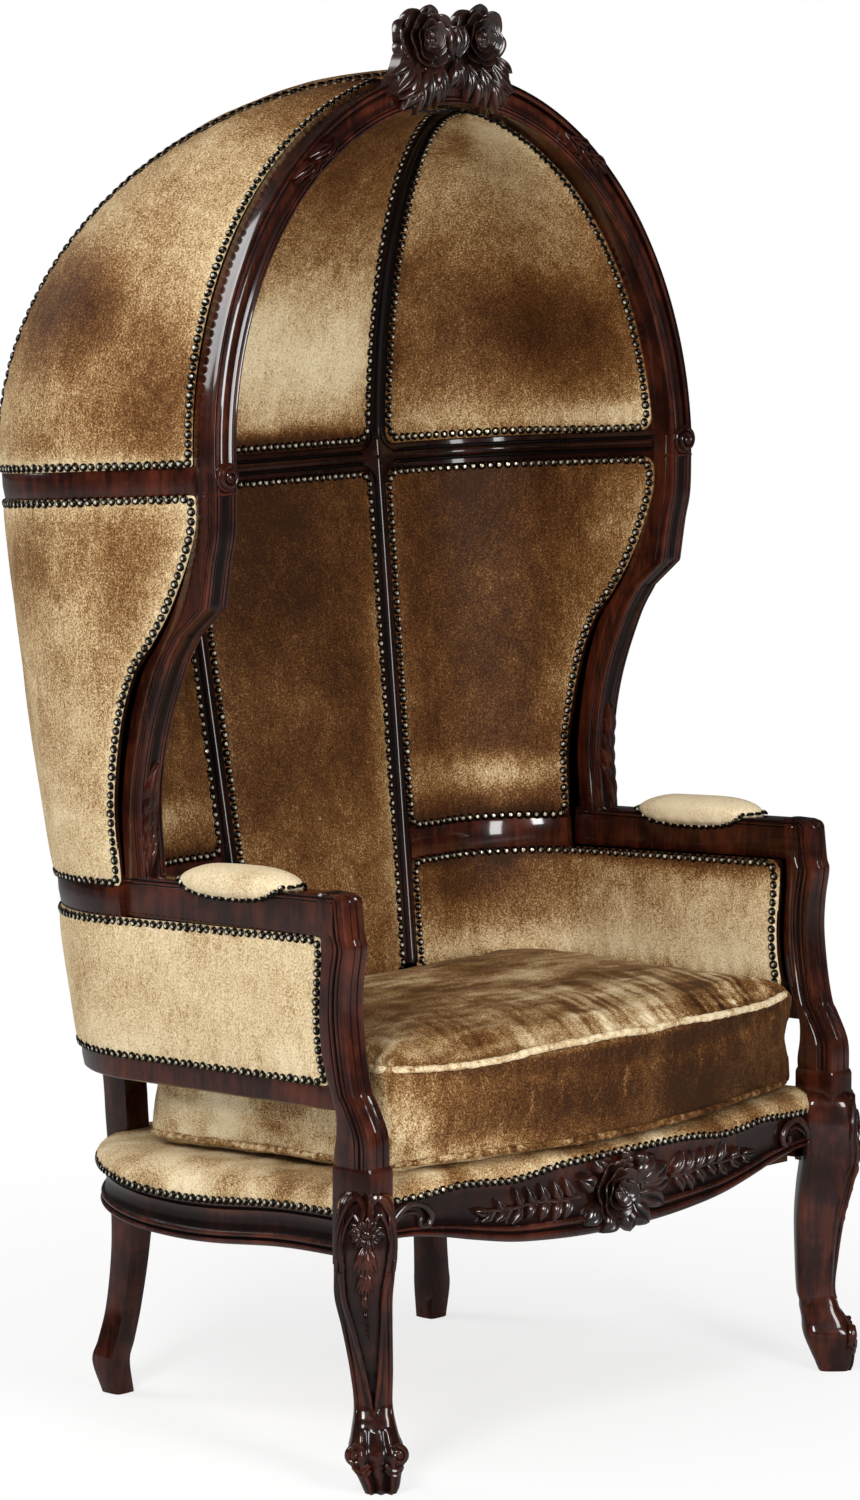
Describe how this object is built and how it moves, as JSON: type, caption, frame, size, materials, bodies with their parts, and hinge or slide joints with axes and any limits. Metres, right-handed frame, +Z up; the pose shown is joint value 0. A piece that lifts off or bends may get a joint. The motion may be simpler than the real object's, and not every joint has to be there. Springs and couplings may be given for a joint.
{
  "type": "hall porter chair",
  "caption": "Carved mahogany hall porter chair with a hooded, velvet-covered body, rose crest, cabriole front legs and a loose seat cushion",
  "frame": {"origin": "on the floor, below the middle of the bounding box", "axes": "+Z up; the chair faces -Y; +X is on the right of someone who stands in front of it; X = 0 is its plane of symmetry"},
  "size_m": [0.932, 0.7221, 1.7],
  "materials": {
    "mahogany": "dark polished mahogany, carved",
    "velvet": "crushed bronze velvet over padding, edged with close round brass nails",
    "webbing": "woven jute webbing",
    "plain_wood": "plain unpolished hardwood"
  },
  "bodies": {
    "chair": {"apron_carving": "mahogany", "arch_left": "mahogany", "arch_right": "mahogany", "arm_band_inner_left": "mahogany", "arm_band_inner_right": "mahogany", "arm_band_outer_left": "mahogany", "arm_band_outer_right": "mahogany", "arm_pad_left": "velvet", "arm_pad_right": "velvet", "arm_panel_inner_left": "velvet", "arm_panel_inner_right": "velvet", "arm_panel_outer_left": "velvet", "arm_panel_outer_right": "velvet", "arm_post_left": "mahogany", "arm_post_right": "mahogany", "arm_rail_left": "mahogany", "arm_rail_right": "mahogany", "back_panel_inner": "velvet", "back_panel_outer": "velvet", "back_rib_left": "mahogany", "back_rib_right": "mahogany", "belt_inner_back": "mahogany", "belt_inner_left": "mahogany", "belt_inner_right": "mahogany", "belt_outer_back": "mahogany", "belt_outer_left": "mahogany", "belt_outer_right": "mahogany", "corner_blocks": "plain_wood", "crest": "mahogany", "dome_rib_left": "mahogany", "dome_rib_right": "mahogany", "front_leg_left": "mahogany", "front_leg_right": "mahogany", "hood_panel_inner_back": "velvet", "hood_panel_inner_left": "velvet", "hood_panel_inner_right": "velvet", "hood_panel_outer_back": "velvet", "hood_panel_outer_left": "velvet", "hood_panel_outer_right": "velvet", "lower_back_rail": "mahogany", "lower_side_rail_left": "mahogany", "lower_side_rail_right": "mahogany", "outer_rib_left": "mahogany", "outer_rib_right": "mahogany", "rear_leg_left": "mahogany", "rear_leg_right": "mahogany", "scroll_rosettes": "mahogany", "seat_deck": "velvet", "seat_rail_back": "mahogany", "seat_rail_front": "mahogany", "seat_rail_left": "mahogany", "seat_rail_right": "mahogany", "seat_webbing": "webbing", "wing_panel_inner_left": "velvet", "wing_panel_inner_right": "velvet", "wing_panel_outer_left": "velvet", "wing_panel_outer_right": "velvet", "wing_post_left": "mahogany", "wing_post_right": "mahogany"},
    "cushion": {"seat_cushion": "velvet"}
  },
  "joints": [
    {"name": "seat_cushion_lift_out", "type": "slide", "parent": "chair", "child": "cushion", "axis": [0, -0.9, 0.436], "range_m": [0, 0.75]}
  ]
}
